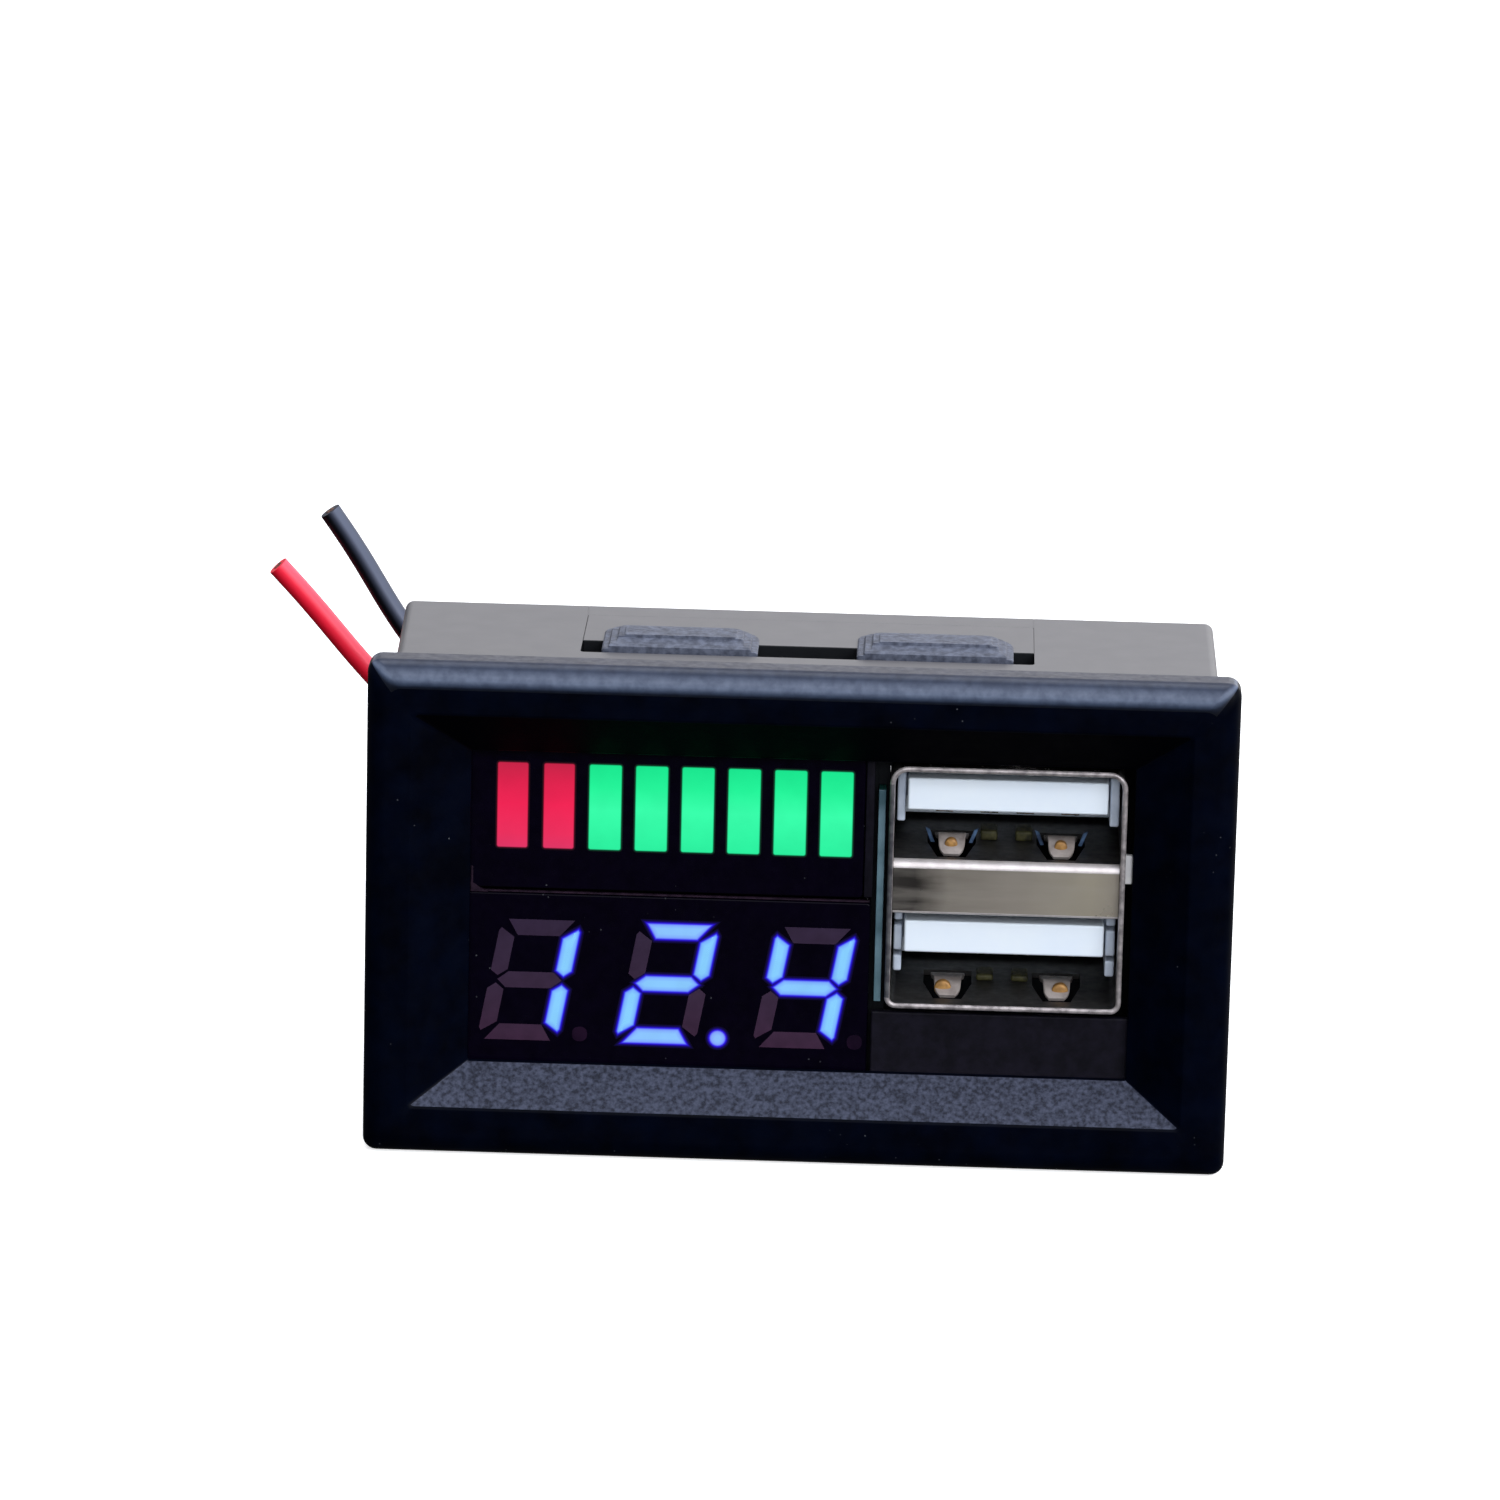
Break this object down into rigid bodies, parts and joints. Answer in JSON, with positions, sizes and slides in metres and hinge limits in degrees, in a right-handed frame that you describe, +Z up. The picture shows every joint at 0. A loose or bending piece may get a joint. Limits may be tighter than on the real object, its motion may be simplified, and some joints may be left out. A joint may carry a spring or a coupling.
{
  "type": "usb power meter",
  "caption": "Snap-in panel meter with a battery-level bar display, a numeric readout and a stacked USB-A outlet behind a recessed rectangular bezel, on two supply leads.",
  "frame": {"origin": "middle of the base: halfway across the width, halfway between the front face and the sleeve's rear edge, at the height of the bezel's lower edge", "axes": "+X to the right when facing the display, +Y from the front face to the rear, +Z up"},
  "size_m": [0.0557, 0.0278, 0.031],
  "materials": {
    "black_abs": "fine grain",
    "display_black": "smoked gloss",
    "lens_red": "diffusing resin",
    "lens_green": "diffusing resin",
    "lens_blue": "diffusing resin",
    "board_green": "solder mask",
    "nickel_steel": "nickel plate",
    "gold_contact": "gold flash",
    "white_insulator": "moulded",
    "chip_black": "moulded epoxy",
    "ceramic": "fired ceramic",
    "ivory_plastic": "moulded",
    "capacitor_can": "brushed",
    "ferrite": "matt",
    "solder": "bright tin",
    "red_pvc": "satin",
    "black_pvc": "satin"
  },
  "bodies": {
    "meter": {"bar_display_case": "display_black", "bar_led_board": "board_green", "bar_lens_green": "lens_green", "bar_lens_red": "lens_red", "black_lead": "black_pvc", "board_link": "chip_black", "buck_converter": "chip_black", "digit_display_case": "display_black", "digit_led_board": "board_green", "digit_lens": "lens_blue", "display_board": "board_green", "filter_capacitor": "ceramic", "housing": "black_abs", "input_capacitor": "capacitor_can", "lower_insulator": "white_insulator", "microcontroller": "chip_black", "negative_solder": "solder", "outlet_board": "board_green", "output_capacitor": "ceramic", "positive_solder": "solder", "power_inductor": "ferrite", "protection_diode": "chip_black", "red_lead": "red_pvc", "schottky_diode": "chip_black", "sense_resistor": "chip_black", "trimmer_base": "ivory_plastic", "upper_insulator": "white_insulator", "usb_board": "board_green", "usb_divider": "nickel_steel", "usb_shell": "nickel_steel", "voltage_regulator": "chip_black"},
    "top_latch": {"top_latch": "black_abs"},
    "bottom_latch": {"bottom_latch": "black_abs"},
    "upper_left_spring": {"upper_left_spring": "nickel_steel"},
    "upper_right_spring": {"upper_right_spring": "nickel_steel"},
    "lower_left_spring": {"lower_left_spring": "nickel_steel"},
    "lower_right_spring": {"lower_right_spring": "nickel_steel"},
    "upper_contacts": {"upper_contact_1": "gold_contact", "upper_contact_2": "gold_contact", "upper_contact_3": "gold_contact", "upper_contact_4": "gold_contact"},
    "lower_contacts": {"lower_contact_1": "gold_contact", "lower_contact_2": "gold_contact", "lower_contact_3": "gold_contact", "lower_contact_4": "gold_contact"},
    "trimmer_rotor": {"trimmer_rotor": "nickel_steel"}
  },
  "joints": [
    {"name": "top_latch_flex", "type": "hinge", "parent": "meter", "child": "top_latch", "pos_m": [0, 0.00705, 0.02655], "axis": [1, 0, 0], "range_deg": [0, 8], "stiffness_Nm_per_rad": 1},
    {"name": "bottom_latch_flex", "type": "hinge", "parent": "meter", "child": "bottom_latch", "pos_m": [0, 0.00705, 0.00165], "axis": [-1, 0, 0], "range_deg": [0, 8], "stiffness_Nm_per_rad": 1},
    {"name": "upper_left_spring_flex", "type": "hinge", "parent": "meter", "child": "upper_left_spring", "pos_m": [0.00835, -0.00085, 0.01703], "axis": [1, 0, 0], "range_deg": [0, 8], "stiffness_Nm_per_rad": 0.06},
    {"name": "upper_right_spring_flex", "type": "hinge", "parent": "meter", "child": "upper_right_spring", "pos_m": [0.01445, -0.00085, 0.01703], "axis": [1, 0, 0], "range_deg": [0, 8], "stiffness_Nm_per_rad": 0.06},
    {"name": "lower_left_spring_flex", "type": "hinge", "parent": "meter", "child": "lower_left_spring", "pos_m": [0.00835, -0.00085, 0.00885], "axis": [1, 0, 0], "range_deg": [0, 8], "stiffness_Nm_per_rad": 0.06},
    {"name": "lower_right_spring_flex", "type": "hinge", "parent": "meter", "child": "lower_right_spring", "pos_m": [0.01445, -0.00085, 0.00885], "axis": [1, 0, 0], "range_deg": [0, 8], "stiffness_Nm_per_rad": 0.06},
    {"name": "upper_contacts_flex", "type": "hinge", "parent": "meter", "child": "upper_contacts", "pos_m": [0.0114, 0.0015, 0.02035], "axis": [-1, 0, 0], "range_deg": [0, 2.5], "stiffness_Nm_per_rad": 0.25},
    {"name": "lower_contacts_flex", "type": "hinge", "parent": "meter", "child": "lower_contacts", "pos_m": [0.0114, 0.0015, 0.01217], "axis": [-1, 0, 0], "range_deg": [0, 2.5], "stiffness_Nm_per_rad": 0.25},
    {"name": "trimmer_turn", "type": "hinge", "parent": "meter", "child": "trimmer_rotor", "pos_m": [-0.0015, 0.0027, 0.0225], "axis": [0, 1, 0], "range_deg": [-130, 130]}
  ]
}
